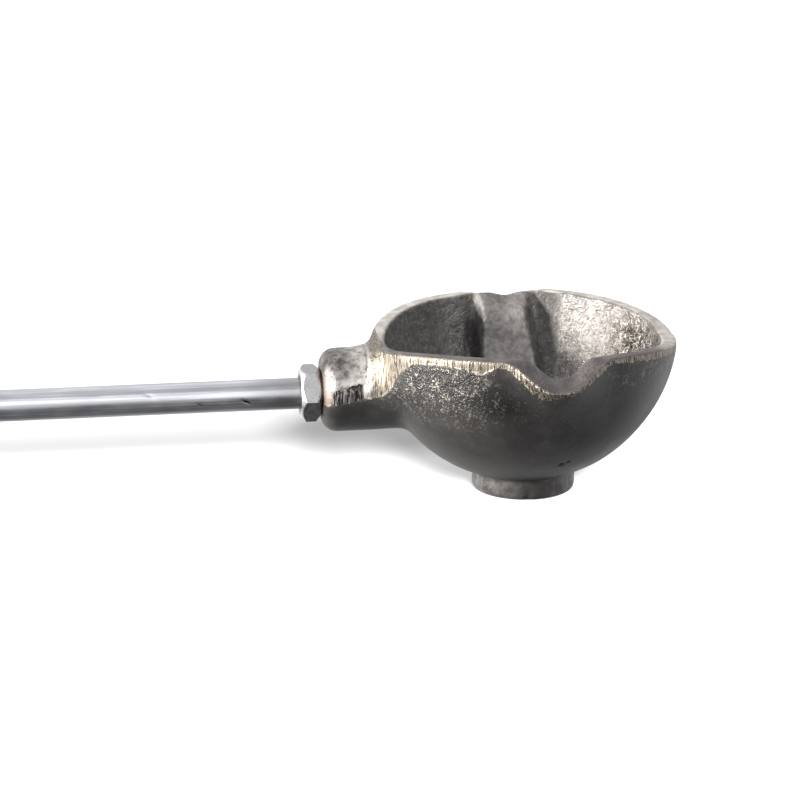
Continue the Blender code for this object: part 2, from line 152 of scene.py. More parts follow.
def loft(name, rings, start=None, end=None, closed=False, smooth_angle=None):
    """Joins equal rings with quads. The ends close to a point each, or the last ring joins the first."""
    rings = [np.asarray(r, float) for r in rings]
    count, n = len(rings[0]), len(rings)
    points = np.concatenate(rings)
    faces = []
    for row in range(n if closed else n - 1):
        low, high = row * count, ((row + 1) % n) * count
        for i in range(count):
            j = (i + 1) % count
            faces.append((low + i, low + j, high + j, high + i))
    for point, base, flip in ((start, 0, True), (end, (n - 1) * count, False)):
        if point is None:
            continue
        tip = len(points)
        points = np.vstack([points, point])
        for i in range(count):
            j = (i + 1) % count
            faces.append((base + j, base + i, tip) if flip else (base + i, base + j, tip))
    made = mesh_object(name, points, faces, smooth_angle)
    fix_normals(made)
    return made


def fix_normals(obj):
    """Turns the faces outwards."""
    mesh = obj.data
    co = coordinates(obj)
    mesh.calc_loop_triangles()
    tris = np.array([t.vertices[:] for t in mesh.loop_triangles])
    a, b, c = co[tris[:, 0]], co[tris[:, 1]], co[tris[:, 2]]
    if np.einsum("ij,ij->i", a, np.cross(b, c)).sum() < 0:
        mesh.flip_normals()


def coordinates(obj):
    co = np.empty(len(obj.data.vertices) * 3)
    obj.data.vertices.foreach_get("co", co)
    return co.reshape(-1, 3) / MM


def set_coordinates(obj, co):
    obj.data.vertices.foreach_set("co", (co * MM).ravel())
    obj.data.update()


def add_attribute(obj, name, values):
    made = obj.data.attributes.new(name, "FLOAT", "POINT")
    made.data.foreach_set("value", np.asarray(values, np.float32))


def apply_modifiers(obj):
    dg = bpy.context.evaluated_depsgraph_get()
    mesh = bpy.data.meshes.new_from_object(obj.evaluated_get(dg))
    obj.modifiers.clear()
    obj.data = mesh


def boolean(target, cutter, operation):
    modifier = target.modifiers.new(cutter.name, "BOOLEAN")
    modifier.operation, modifier.solver, modifier.object = operation, "EXACT", cutter


def circle(sides):
    return np.arange(sides) * math.tau / sides


def ring_about_x(x, radius, sides=96, centre_z=ROD_Z):
    turn = circle(sides)
    return np.stack([np.full(sides, x), radius * np.cos(turn), centre_z + radius * np.sin(turn)], 1)


# The head

def rim_rise(angle):
    """Height of the rim above the ball's middle."""
    turn = turn_between(angle, 0)
    tip = np.where(turn > 0, np.exp(-np.abs(turn) / TIP_FAR), bell(turn, TIP_NEAR))
    crown = CROWN_RISE * bell(turn_between(angle, CROWN_ANGLE), CROWN_SPREAD)
    handle = HANDLE_DIP * bell(turn_between(angle, math.pi), HANDLE_SPREAD)
    return RIM_RISE + crown - TIP_DIP * tip - handle


def outer_radius(angle, depth, plan):
    below_lip = np.maximum(0.0, 1 - depth / LIP_FADE)
    duct = window(across(angle, DUCT_ANGLE, plan), FAR_LIP)
    swell = BULGE * smooth((math.radians(68) - depth) / math.radians(18))
    swell = swell + (LIP_REACH - BULGE) * below_lip**1.5
    beak = TIP_BEAK * bell(turn_between(angle, 0), BEAK_OUTSIDE) * below_lip
    return OUTER_R + duct * swell + beak


def inner_radius(angle, depth, plan):
    spread = smooth(depth / BAFFLE_SPREAD)
    both_sides = (BAFFLE_TIP_SIDE, BAFFLE_HANDLE_SIDE)
    sides = [[high + (low - high) * spread for high, low in zip(*side)] for side in both_sides]
    distance = across(angle, DUCT_ANGLE, plan)
    baffle = window(distance, *sides)
    top = smooth((depth + math.radians(5)) / math.radians(16))
    bottom = smooth((math.radians(64) - depth) / math.radians(12))
    crease = bell(distance - CREASE_AT, CREASE_WIDE) * smooth((depth - math.radians(9)) / math.radians(16))
    return INNER_R - (baffle * BAFFLE_PROUD * top - CREASE_DEEP * crease) * bottom


def far_rim(angle):
    """The far rim stands a little higher over the baffle, with a small notch in its middle."""
    distance = across(angle, DUCT_ANGLE, OUTER_R) + FAR_NOTCH_X
    return FAR_RISE * window(distance, FAR_RISE_WIDTH) - FAR_NOTCH * bell(distance, FAR_NOTCH_HALF)


def bowl_ring(angle, depth, outside):
    """Points of the bowl's outer or inner surface at plan angles and a depth angle below the rim."""
    fade = max(0.0, 1 - depth / LIP_FADE)
    if outside:
        plan = OUTER_R * math.cos(depth)
        lip = window(across(angle, LIP_ANGLE, plan), LIP_LEFT, LIP_RIGHT)
        far_lip = window(across(angle, DUCT_ANGLE, plan), FAR_LIP)
        push = lip * LIP_REACH * fade**1.6
        drop = (lip + far_lip) * LIP_DROP * fade**2
        radius = outer_radius(angle, depth, plan)
    else:
        plan = INNER_R * math.cos(depth)
        lip = window(across(angle, MOUTH_ANGLE, plan), MOUTH_WIDTH)
        push = lip * MOUTH_REACH * fade**1.6
        drop = (lip * MOUTH_DROP - far_rim(angle)) * fade**2
        beak = TIP_BEAK * bell(turn_between(angle, BEAK_ANGLE_INSIDE), BEAK_INSIDE) * fade
        radius = inner_radius(angle, depth, plan) + beak
    plan = radius * math.cos(depth) + push
    rise = rim_rise(angle) * max(0.0, 1 - depth / RIM_FADE) ** 2
    height = BALL_Z - radius * math.sin(depth) - drop + rise
    return np.stack([BALL_X + plan * np.cos(angle), plan * np.sin(angle), height], 1)


def bowl_shell():
    angles, outer_steps, inner_steps = circle(288), 48, 56
    flat = np.stack([np.cos(angles), np.sin(angles), np.zeros_like(angles)], 1)
    rings = [flat * (FOOT_R - FOOT_EDGE)]
    for turn in np.radians((30, 60, 90)):
        ring = flat * (FOOT_R - FOOT_EDGE * (1 - math.sin(turn)))
        ring[:, 2] = FOOT_EDGE * (1 - math.cos(turn))
        rings.append(ring)
    neck = flat * FOOT_R
    neck[:, 2] = BALL_Z - np.sqrt(OUTER_R**2 - (neck[:, 0] - BALL_X) ** 2 - neck[:, 1] ** 2)
    rings.append(neck)
    foot_depth = math.acos(FOOT_R / OUTER_R)
    rings += [bowl_ring(angles, foot_depth * (1 - i / outer_steps), True) for i in range(1, outer_steps)]
    rings.append(bowl_ring(angles, RIM_EDGE / OUTER_R, True))
    outer, inner = bowl_ring(angles, 0.0, True), bowl_ring(angles, 0.0, False)
    across_wall = inner - outer
    across_wall /= np.linalg.norm(across_wall, axis=1)[:, None]
    rings += [outer + across_wall * RIM_EDGE, inner - across_wall * RIM_EDGE]
    rings.append(bowl_ring(angles, RIM_EDGE / INNER_R, False))
    rings += [bowl_ring(angles, math.pi / 2 * i / inner_steps, False) for i in range(2, inner_steps)]
    return loft("ladle_head_fine", rings, (0, 0, 0), (BALL_X, 0, BALL_Z - INNER_R))


def boss_solid():
    """The boss, whose underside runs level into the bowl while it grows upwards and sideways."""
    rings, middle = [], BOSS_BOTTOM + BOSS_R
    for turn in np.radians(np.linspace(0, 90, 9)):
        x, radius = BOSS_END + BOSS_EDGE * (1 - math.cos(turn)), BOSS_R - BOSS_EDGE * (1 - math.sin(turn))
        rings.append(ring_about_x(x, radius, centre_z=middle))
    for length, growth in BOSS_GROWTH:
        radius = BOSS_R + growth
        rings.append(ring_about_x(BOSS_END + length, radius, centre_z=BOSS_BOTTOM + radius))
    return loft("boss", rings, (BOSS_END, 0, middle), (BOSS_END + BOSS_GROWTH[-1][0], 0, middle))


def ball(name, radius):
    rings, turn = [], circle(96)
    for rise in np.radians(np.linspace(-86, 86, 44)):
        plan = radius * math.cos(rise)
        z = np.full(96, BALL_Z + radius * math.sin(rise))
        rings.append(np.stack([BALL_X + plan * np.cos(turn), plan * np.sin(turn), z], 1))
    return loft(name, rings, (BALL_X, 0, BALL_Z - radius), (BALL_X, 0, BALL_Z + radius))


def place_at_duct(points):
    """Turns points from the XZ plane to the duct's direction."""
    c, s = math.cos(DUCT_ANGLE), math.sin(DUCT_ANGLE)
    x, y = points[:, 0] * c - points[:, 1] * s, points[:, 0] * s + points[:, 1] * c
    return np.stack([x + BALL_X, y, points[:, 2]], 1)


def duct_path():
    """The duct's centre line in the XZ plane, from the bowl's bottom to the far lip."""
    path, steps = [(11.0, 0, 17.5)], 24
    for i in range(steps + 1):
        depth = math.radians(62) * (1 - i / steps)
        radius = INNER_R + DUCT_INSET + DUCT_LEAN * max(0.0, 1 - depth / math.radians(26)) ** 1.3
        radius -= INLET_TURN * float(smooth((depth - math.radians(54)) / math.radians(10)))
        path.append((radius * math.cos(depth), 0, BALL_Z - radius * math.sin(depth)))
    return np.array(path + [(INNER_R + 5.2, 0, BALL_Z + 8.0)])


def duct_solid():
    path, turn, rings = duct_path(), circle(32), []
    for i, point in enumerate(path):
        along = path[min(i + 1, len(path) - 1)] - path[max(i - 1, 0)]
        normal = np.cross(along / np.linalg.norm(along), (0, 1, 0))
        normal /= np.linalg.norm(normal)
        ring = point + DUCT_R * (np.outer(np.cos(turn), normal) + np.outer(np.sin(turn), (0, 1, 0)))
        rings.append(place_at_duct(ring))
    return loft("duct", rings, rings[0].mean(0), rings[-1].mean(0))


def spout_solid():
    """Cuts the far lip's trough, outside the baffle's top."""
    turn, tilt, half = circle(64), math.radians(6), 10
    along, up = np.array((math.cos(tilt), 0, -math.sin(tilt))), np.array((math.sin(tilt), 0, math.cos(tilt)))
    middle = np.array((INNER_R + SPOUT_START + half, 0, BALL_Z - SPOUT_FLOOR + SPOUT_R))
    round_ring = SPOUT_R * (np.outer(np.cos(turn), up) + np.outer(np.sin(turn), (0, 1, 0)))
    rings = [place_at_duct(middle + along * step + round_ring) for step in (-half, half)]
    return loft("spout", rings, rings[0].mean(0), rings[1].mean(0))


def socket_solid():
    start, end = BOSS_END - 5, ROD_HIGH.x + 0.8
    rings = [ring_about_x(x, ROD_R + CLEARANCE) for x in (start, end)]
    return loft("socket", rings, (start, 0, ROD_Z), (end, 0, ROD_Z))


def neighbours(obj):
    """Each edge's two ends, both ways round, and how many neighbours each point has."""
    edges = np.empty(len(obj.data.edges) * 2, int)
    obj.data.edges.foreach_get("vertices", edges)
    edges = edges.reshape(-1, 2)
    start, end = np.concatenate([edges[:, 0], edges[:, 1]]), np.concatenate([edges[:, 1], edges[:, 0]])
    return start, end, np.maximum(np.bincount(start, minlength=len(obj.data.vertices)), 1)


def relax(co, links, weight, rounds):
    """Moves each point towards its neighbours' mean."""
    start, end, count = links
    for _ in range(rounds):
        mean = np.stack([np.bincount(start, co[end, k], len(co)) for k in range(3)], 1) / count[:, None]
        co = co + weight[:, None] * (mean - co)
    return co


def vertex_normals(obj):
    normals = np.empty(len(obj.data.vertices) * 3)
    obj.data.vertex_normals.foreach_get("vector", normals)
    return normals.reshape(-1, 3)


def noise_field(co, scale, seed):
    """Gradient noise at points, with features about `scale` millimetres across."""
    return np.array([noise.noise(Vector(p)) for p in co / scale + seed])


# Casting pits: where they are, their half width and depth
PITS = ((3.9, -26.3, 13.9, 0.75, 0.5), (5.6, -26.9, 14.6, 0.5, 0.3), (-1.6, -13.2, 0.9, 0.9, 0.4),
        (9.5, 24.0, 12.5, 0.8, 0.4), (-22.0, 21.5, 16.0, 0.6, 0.35))

# How far below the rim the belt-ground band reaches, in millimetres, by plan angle on the lip's side.
# Measured on the photograph through the fitted camera, rounded, and then changed one by one.
GROUND_ANGLES = (-180, -166, -160, -152, -145, -132, -122, -116, -111, -104, -97, -89, -80, -66, -54, -40, 0)
GROUND_DEPTHS = (10.6, 10.2, 8.2, 4.8, 2.3, 2.0, 2.8, 3.6, 1.5, 2.3, 2.8, 1.3, 0.8, 1.3, 1.9, 1.9, 1.5)


def ground_height(co):
    """How far a point is inside the belt-ground band, which follows the rim and the boss's sides."""
    angle = np.arctan2(co[:, 1], co[:, 0] - BALL_X)
    lip = window(across(angle, LIP_ANGLE, OUTER_R), LIP_LEFT, LIP_RIGHT)
    far_lip = window(across(angle, DUCT_ANGLE, OUTER_R), FAR_LIP)
    rim_z = BALL_Z + rim_rise(angle) - LIP_DROP * (lip + far_lip)
    low = rim_z - np.interp(-np.degrees(np.abs(angle)), GROUND_ANGLES, GROUND_DEPTHS)
    boss_low = 26.4 + (co[:, 0] - BOSS_END) * 0.19
    on_boss = smooth((-35.5 - co[:, 0]) / 4)
    above = co[:, 2] - (low * (1 - on_boss) + boss_low * on_boss)
    top = 30.0 + 0.28 * (co[:, 0] + 52.5) + 14 * smooth((co[:, 0] + 43.4) / 3.0)
    end_edge = np.minimum(BOSS_END + 1.3 - co[:, 0], 34.0 - co[:, 2])
    return np.minimum(above, np.maximum(top - co[:, 2], end_edge))


def head():
    made = bowl_shell()
    boss, wall = boss_solid(), ball("wall", WALL_MIDDLE_R)
    boolean(boss, wall, "DIFFERENCE")
    boolean(made, boss, "UNION")
    cutters = [duct_solid(), spout_solid(), socket_solid()]
    for cutter in cutters:
        boolean(made, cutter, "DIFFERENCE")
    bpy.context.view_layer.update()
    apply_modifiers(made)
    remesh = made.modifiers.new("remesh", "REMESH")
    remesh.mode, remesh.voxel_size = "VOXEL", VOXEL * MM
    apply_modifiers(made)
    for helper in (boss, wall, *cutters):
        bpy.data.objects.remove(helper)
    finish_head(made)
    return made


def blend_boss(made, from_ball):
    """Points with the boss's root blended into the bowl, and kept below the rim's land."""
    co, links = coordinates(made), neighbours(made)
    boss_r = BOSS_R + 0.3  # it has grown a little on its way to the root
    from_boss = np.hypot(co[:, 1], co[:, 2] - BOSS_BOTTOM - boss_r) - boss_r
    root = smooth((9.5 - np.abs(from_ball - OUTER_R) - np.abs(from_boss)) / 6)
    root *= (from_ball > WALL_MIDDLE_R) * (co[:, 0] < -24)
    land_z = BALL_Z + rim_rise(np.arctan2(co[:, 1], co[:, 0] - BALL_X))
    root *= 0.12 + 0.88 * smooth((co[:, 2] - 21) / 5)
    root *= 1 - smooth((co[:, 2] - land_z + 1.6) / 1.2) * (from_ball < OUTER_R + 0.6)
    co = relax(co, links, 0.35 * np.ones(len(co)), SKIN_ROUNDS)
    co = relax(co, links, 0.6 * root, ROOT_ROUNDS)
    top = land_z - 0.15 - 0.6 * smooth((-40.5 - co[:, 0]) / 4)
    over = (co[:, 0] < -38) & (co[:, 2] > top)
    co[over, 2] = top[over] + 0.15 * np.tanh((co[over, 2] - top[over]) / 0.6)
    return co


def rim_zones(co, normals, from_ball, angle, inside):
    """The flat land on the rim, and the ground band, which stays off the insides of the lips."""
    land = smooth((normals[:, 2] - 0.55) / 0.3) * smooth((co[:, 2] - 35.5) / 1.5) * (co[:, 0] > -37.5)
    land *= (from_ball > INNER_R - 0.6) * (from_ball < OUTER_R + 7.5)
    outwards = normals[:, 0] * np.cos(angle) + normals[:, 1] * np.sin(angle)
    ground = ground_height(co) - 6 * smooth((-0.1 - outwards) / 0.3) * (co[:, 0] > -38)
    return {"land": land, "ground": ground, "ground_share": smooth((ground + 0.3) / 0.6) * (1 - inside)}


def boss_zones(co, inside):
    """The boss's skin, and the polished and scored parts of its ground flank."""
    x, z = co[:, 0], co[:, 2]
    on_boss = smooth((-40 - x) / 4) * (1 - inside)
    return {
        "on_boss": on_boss,
        "polish": on_boss * np.clip(0.8 * smooth((x + 49.5) / 7.5) + 0.5 * smooth((35.5 - z) / 5), 0, 1),
        "scored": smooth((-43.0 - x) / 1.2) * smooth((x - BOSS_END - 1.4) / 0.8),
    }


def inside_zones(co, from_ball, angle, inside):
    """The baffle, painted shade in its crease, on its face and over the unlit handle-side wall, its painted
    cast shadow on the tip side, and the pitted hollow at the bowl's tip.
    """
    z, turn = co[:, 2], np.degrees(np.abs(angle))
    off_bottom = smooth((z - 15) / 9)
    baffle = window(across(angle, DUCT_ANGLE, from_ball * 0.85), (5.5, 8.0)) * inside
    from_duct = across(angle, DUCT_ANGLE, from_ball * 0.9)
    # Painted shade, dark and rough: in the baffle's handle-side crease, over a highlight on its flank's top,
    # as its cast shadow on the tip side, over the unlit handle-side wall and a little over its face
    painted_shade = np.maximum.reduce([
        0.9 * window(from_duct - 8.2, (1.0, 2.8)) * (0.25 + 0.75 * smooth((42 - z) / 7)),
        0.45 * window(from_duct - 6.4, (1.2, 2.4)) * smooth((z - 35) / 5),
        0.62 * window(from_duct + 11.0, (2.0, 4.0)),
        0.55 * smooth((from_duct - 11) / 8),
        0.2 * baffle,
    ])
    return {
        "grain_inside": inside * (0.95 - 0.7 * baffle * off_bottom),
        "painted_shade": painted_shade * off_bottom * inside,
        "tip": inside * smooth((46 - turn) / 24) * off_bottom * (0.4 + 0.6 * smooth((42 - z) / 5)),
    }


def skin_zones(co, from_ball, angle, inside, on_boss):
    """Where the outer skin is coarse, worn to metal (on the foot also a painted edge sheen) or covered in
    smooth black scale.
    """
    z, turn, degrees = co[:, 2], np.degrees(np.abs(angle)), np.degrees(angle)
    coarse_side = smooth((turn - 106) / 20) * smooth((168 - turn) / 14)
    under_rim = 0.30 * smooth((80 - turn) / 20) * smooth((z - 33) / 5)
    coarse = np.maximum((0.06 + 0.94 * coarse_side) * smooth((z - 22) / 14), under_rim) * (1 - inside)
    # The foot's worn metal grows from its front round to its sides and back: real wear with a painted edge
    # sheen
    foot_wear_and_sheen = 0.02 + np.where(degrees > -82, 0.8, 0.45) * np.abs(degrees + 82) / 98
    worn = np.maximum.reduce([
        on_boss * smooth((z - 28) / 3),
        foot_wear_and_sheen * smooth((9 - z) / 3) * (from_ball > INNER_R + 1),
        0.35 * smooth((55 - turn) / 30) * smooth((z - 24) / 12) * (1 - inside),
    ])
    left_scale = bell(degrees + 106, 12) * bell(z - 32, 6)
    right_scale = 0.7 * bell(degrees + 48, 15) * bell(z - 31, 7)
    return {
        "coarse": coarse * (1 - on_boss) + 0.3 * on_boss * smooth((z - 26) / 3),
        "worn": worn,
        "scale": np.maximum(left_scale, right_scale) * (1 - inside),
    }


def head_zones(co, normals, from_ball):
    """What the iron's material and the skin's grain read at each point."""
    angle = np.arctan2(co[:, 1], co[:, 0] - BALL_X)
    inside = smooth((WALL_MIDDLE_R - 0.6 - from_ball) / 0.8) * (co[:, 2] > 4)
    zones = {"inside": inside, **rim_zones(co, normals, from_ball, angle, inside), **boss_zones(co, inside)}
    zones |= skin_zones(co, from_ball, angle, inside, zones["on_boss"])
    zones |= inside_zones(co, from_ball, angle, inside)
    coarse = np.maximum(zones["coarse"], zones.pop("grain_inside"))
    coarse *= (1 - zones["land"]) * (1 - zones["ground_share"]) * (1 - 0.8 * zones["painted_shade"])
    zones["coarse"] = coarse
    zones["peak"] = 0.65 * noise_field(co, 0.95, 3.1) + 0.5 * noise_field(co, 2.3, 7.7)
    return zones


def rough_skin(co, zones):
    """How far each point lifts off the smooth skin, and how deep in a casting pit it is."""
    off_land = 1 - zones["land"]
    lift = GRAIN_HEIGHT * zones["coarse"] * zones["peak"]
    lift += (WAVE_HEIGHT * noise_field(co, 9.0, 1.3) - GRINDING_DEPTH * zones["ground_share"]) * off_land
    lift *= 1 - smooth((1.5 - co[:, 2]) / 1.0)
    pitted = np.zeros(len(co))
    for x, y, z, half, deep in PITS:
        near = bell(np.linalg.norm(co - (x, y, z), axis=1), half)
        lift -= deep * near
        pitted = np.maximum(pitted, near)
    return lift, pitted


def finish_head(made):
    """Blends and roughens the skin, and stores what the iron's material reads."""
    from_ball = np.linalg.norm(coordinates(made) - (BALL_X, 0, BALL_Z), axis=1)
    co = blend_boss(made, from_ball)
    set_coordinates(made, co)
    normals = vertex_normals(made)
    zones = head_zones(co, normals, from_ball)
    lift, pitted = rough_skin(co, zones)
    co = co + normals * lift[:, None]
    inset = 0.02
    co = np.clip(co, (HEAD_LOW.x + inset, HEAD_LOW.y + inset, 0.0), np.array(HEAD_HIGH) - inset)
    set_coordinates(made, co)
    # The casting pits get painted shade as well
    zones["painted_shade"] = np.maximum(zones["painted_shade"], pitted)
    # Where the land gets its painted reflection: its far side and its tip
    zones["far"] = np.maximum(smooth((co[:, 1] + 12) / 30), 0.8 * smooth((co[:, 0] - 27) / 8))
    # A painted highlight: a bright streak where the boss's ground flank turns into the bowl
    zones["painted_highlight"] = window(co[:, 0] + 42.4, (0.7, 1.7)) * zones.pop("on_boss")
    zones["boss_end"] = smooth((BOSS_END + 2.2 - co[:, 0]) / 0.8)
    del zones["ground_share"]
    for name, values in zones.items():
        add_attribute(made, name, values)


# Materials

class Graph:
    """A material with a Principled shader and short ways to make its nodes. Colours are linear."""

    def __init__(self, name, **constants):
        self.material = bpy.data.materials.new(name)
        self.material.use_nodes = True
        self.tree = self.material.node_tree
        self.shader = self.tree.nodes["Principled BSDF"]
        for key, value in constants.items():
            self.shader.inputs[key.replace("_", " ")].default_value = value

    def node(self, kind, inputs=(), **settings):
        made = self.tree.nodes.new(kind)
        for key, value in settings.items():
            setattr(made, key, value)
        for key, value in dict(inputs).items():
            self.feed(made.inputs[key], value)
        return made

    def feed(self, socket, value):
        if isinstance(value, bpy.types.NodeSocket):
            self.tree.links.new(value, socket)
        else:
            socket.default_value = value

    def set(self, name, value):
        self.feed(self.shader.inputs[name], value)

    def place(self, stretch=(1, 1, 1)):
        """Object coordinates in millimetres, stretched by axis."""
        coords = self.node("ShaderNodeTexCoord").outputs["Object"]
        scale = tuple(s / MM for s in stretch)
        return self.node("ShaderNodeMapping", {"Vector": coords, "Scale": scale}).outputs[0]

    def noise(self, where, scale, detail, rough=0.5):
        inputs = {"Vector": where, "Scale": scale, "Detail": detail, "Roughness": rough}
        return self.node("ShaderNodeTexNoise", inputs).outputs["Fac"]

    def read(self, name):
        return self.node("ShaderNodeAttribute", attribute_name=name).outputs["Fac"]

    def math(self, operation, a, b=0.0, clamp=False):
        return self.node("ShaderNodeMath", {0: a, 1: b}, operation=operation, use_clamp=clamp).outputs[0]

    def step(self, value, low, high, start=0.0, end=1.0):
        """Smoothly from start at low to end at high."""
        inputs = {"Value": value, "From Min": low, "From Max": high, "To Min": start, "To Max": end}
        return self.node("ShaderNodeMapRange", inputs, interpolation_type="SMOOTHSTEP").outputs[0]

    def mix(self, share, a, b):
        return self.node("ShaderNodeMix", {0: share, 2: a, 3: b}, data_type="FLOAT").outputs[0]

    def tint(self, share, a, b, blend="MIX"):
        made = self.node("ShaderNodeMix", {0: share}, data_type="RGBA", blend_type=blend)
        for index, value in ((6, a), (7, b)):
            self.feed(made.inputs[index], value if isinstance(value, bpy.types.NodeSocket) else (*value, 1.0))
        return made.outputs[2]

    def bump(self, height, depth_mm, onto=None):
        made = self.node("ShaderNodeBump", {"Height": height, "Strength": 1.0, "Distance": depth_mm * MM})
        if onto is not None:
            self.tree.links.new(onto, made.inputs["Normal"])
        return made.outputs[0]


def iron_material():
    g = Graph("cast_iron", IOR=1.5, Specular_IOR_Level=0.45)
    at = g.place()
    inside, land, coarse = g.read("inside"), g.read("land"), g.read("coarse")
    peak, worn = g.read("peak"), g.read("worn")

    # Where the belt grinder took the skin off, with a ragged lower edge
    ragged = g.noise(at, 0.55, 4.0, 0.65)
    edge = g.math("ADD", g.read("ground"), g.math("MULTIPLY", g.math("SUBTRACT", ragged, 0.5), 2.6))
    open_skin = g.math("SUBTRACT", g.math("SUBTRACT", 1.0, inside, clamp=True), land, clamp=True)
    band = g.math("MULTIPLY", g.step(edge, -0.12, 0.12), open_skin)

    # Skin colour: dark scale, broad mottling, and metal showing on the high grains
    mottle = g.noise(at, 0.11, 4.0, 0.6)
    patch = g.noise(at, 0.5, 4.0, 0.65)
    grain = g.noise(at, 1.7, 2.5, 0.65)
    skin = g.tint(g.step(mottle, 0.35, 0.7), (0.013, 0.012, 0.012), (0.024, 0.022, 0.021))
    lit = g.tint(g.step(patch, 0.3, 0.7), (0.155, 0.147, 0.143), (0.31, 0.295, 0.285))
    skin = g.tint(inside, skin, lit)
    darker_metal = g.tint(g.step(patch, 0.35, 0.65), (0.075, 0.07, 0.068), (0.24, 0.225, 0.22))
    clean = g.tint(g.step(patch, 0.3, 0.6), (0.26, 0.25, 0.24), (0.66, 0.63, 0.60))
    skin = g.tint(worn, skin, g.tint(g.read("polish"), darker_metal, clean))
    grains = g.math("ADD", g.math("MULTIPLY", peak, 0.22), grain)
    hollow = g.math("MULTIPLY", g.read("tip"), g.step(grains, 0.40, 0.62, 1.0, 0.15))
    skin = g.tint(hollow, skin, (0.028, 0.024, 0.018))
    skin = g.tint(g.read("scale"), skin, (0.005, 0.005, 0.005))
    # Painted shade and painted shadow inside the bowl and in the pits, near black
    skin = g.tint(g.read("painted_shade"), skin, (0.006, 0.005, 0.006))
    patchy = g.math("MULTIPLY", coarse, g.step(patch, 0.30, 0.58, 0.25, 1.0))
    shiny = g.math("MULTIPLY", g.step(grains, 0.54, 0.70), patchy)
    colour = g.tint(shiny, skin, (0.31, 0.285, 0.25))
    brushed = g.noise(g.place((3.0, 3.0, 0.16)), 1.0, 4.0, 0.75)
    metal = g.tint(g.step(brushed, 0.38, 0.60), (0.035, 0.030, 0.024), (0.35, 0.315, 0.265))
    score_marks = g.tint(g.step(brushed, 0.47, 0.64), (0.018, 0.015, 0.017), (0.36, 0.34, 0.34))
    metal = g.tint(g.read("scored"), metal, score_marks)
    # The painted highlight, near-white streaks across the boss's ground flank
    painted_highlight = g.math("MULTIPLY", g.read("painted_highlight"), g.step(brushed, 0.36, 0.5))
    metal = g.tint(painted_highlight, metal, (0.86, 0.84, 0.80))
    metal = g.tint(g.read("boss_end"), metal, (0.20, 0.165, 0.145))
    colour = g.tint(band, colour, metal)
    land_tone = g.noise(at, 0.25, 4.0, 0.6)
    land_colour = g.tint(g.step(land_tone, 0.35, 0.65), (0.105, 0.092, 0.092), (0.19, 0.17, 0.165))
    land_colour = g.tint(g.step(brushed, 0.42, 0.58, 0.6, 0.0), land_colour, (0.03, 0.027, 0.025))
    # Painted reflection: the land's far side and tip are painted much lighter than its dark near side, as if
    # mirroring the bright room behind
    far_land_reflection = g.tint(g.step(land_tone, 0.35, 0.65), (0.36, 0.34, 0.32), (0.56, 0.53, 0.49))
    land_colour = g.tint(g.read("far"), land_colour, far_land_reflection)
    colour = g.tint(land, colour, land_colour)
    g.set("Base Color", colour)

    bare = g.math("MAXIMUM", band, g.math("MULTIPLY", land, 0.8))
    bare = g.math("MAXIMUM", bare, g.math("MULTIPLY", g.math("MAXIMUM", inside, worn), 0.92))
    bare = g.math("SUBTRACT", bare, g.read("painted_shade"), clamp=True)
    g.set("Metallic", g.math("MAXIMUM", bare, g.math("MULTIPLY", shiny, 0.9)))
    rough = g.mix(inside, g.step(mottle, 0.3, 0.7, 0.38, 0.52), 0.42)
    rough = g.mix(g.math("MAXIMUM", band, land), rough, g.step(brushed, 0.3, 0.7, 0.48, 0.62))
    rough = g.mix(g.read("scale"), g.mix(g.read("painted_shade"), rough, 0.8), 0.30)
    g.set("Roughness", rough)

    height = g.math("ADD", g.math("MULTIPLY", grain, coarse), g.math("MULTIPLY", g.noise(at, 4.0, 3.0), 0.10))
    normal = g.bump(height, 0.50)
    g.set("Normal", g.bump(g.math("MULTIPLY", brushed, band), 0.10, onto=normal))
    return g.material


def rod_material():
    g = Graph("drawn_steel", Metallic=1.0)
    streak = g.noise(g.place((0.02, 1.6, 1.6)), 1.0, 4.0, 0.6)
    cloud = g.noise(g.place((0.12, 0.3, 0.3)), 1.0, 4.0, 0.6)
    share = g.math("MULTIPLY", g.step(streak, 0.35, 0.65), g.step(cloud, 0.3, 0.6, 0.5, 1.0))
    colour = g.tint(share, (0.38, 0.385, 0.41), (0.60, 0.61, 0.66))
    # Darker towards the nut
    colour = g.tint(g.read("darker_metal"), colour, (0.24, 0.24, 0.25))
    # Painted shade: the rod's nicks are painted near black
    g.set("Base Color", g.tint(g.read("painted_nick_shade"), colour, (0.004, 0.004, 0.006)))
    g.set("Roughness", g.step(cloud, 0.3, 0.7, 0.32, 0.42))
    g.set("Normal", g.bump(streak, 0.02, onto=g.bump(g.noise(g.place(), 1.2, 3.0), 0.01)))
    return g.material


def zinc_material():
    g = Graph("zinc_steel", Metallic=1.0)
    at = g.place()
    cloud = g.noise(at, 0.6, 4.0, 0.6)
    fine = g.noise(g.place((1.0, 3.0, 3.0)), 2.0, 3.0, 0.6)
    colour = g.tint(g.step(cloud, 0.3, 0.7), (0.23, 0.23, 0.235), (0.34, 0.34, 0.345))
    # Painted highlight on the nuts' ends and chamfers
    g.set("Base Color", g.tint(g.read("painted_end_highlight"), colour, (0.72, 0.72, 0.73)))
    g.set("Roughness", g.step(cloud, 0.3, 0.7, 0.28, 0.42))
    g.set("Normal", g.bump(fine, 0.02))
    return g.material


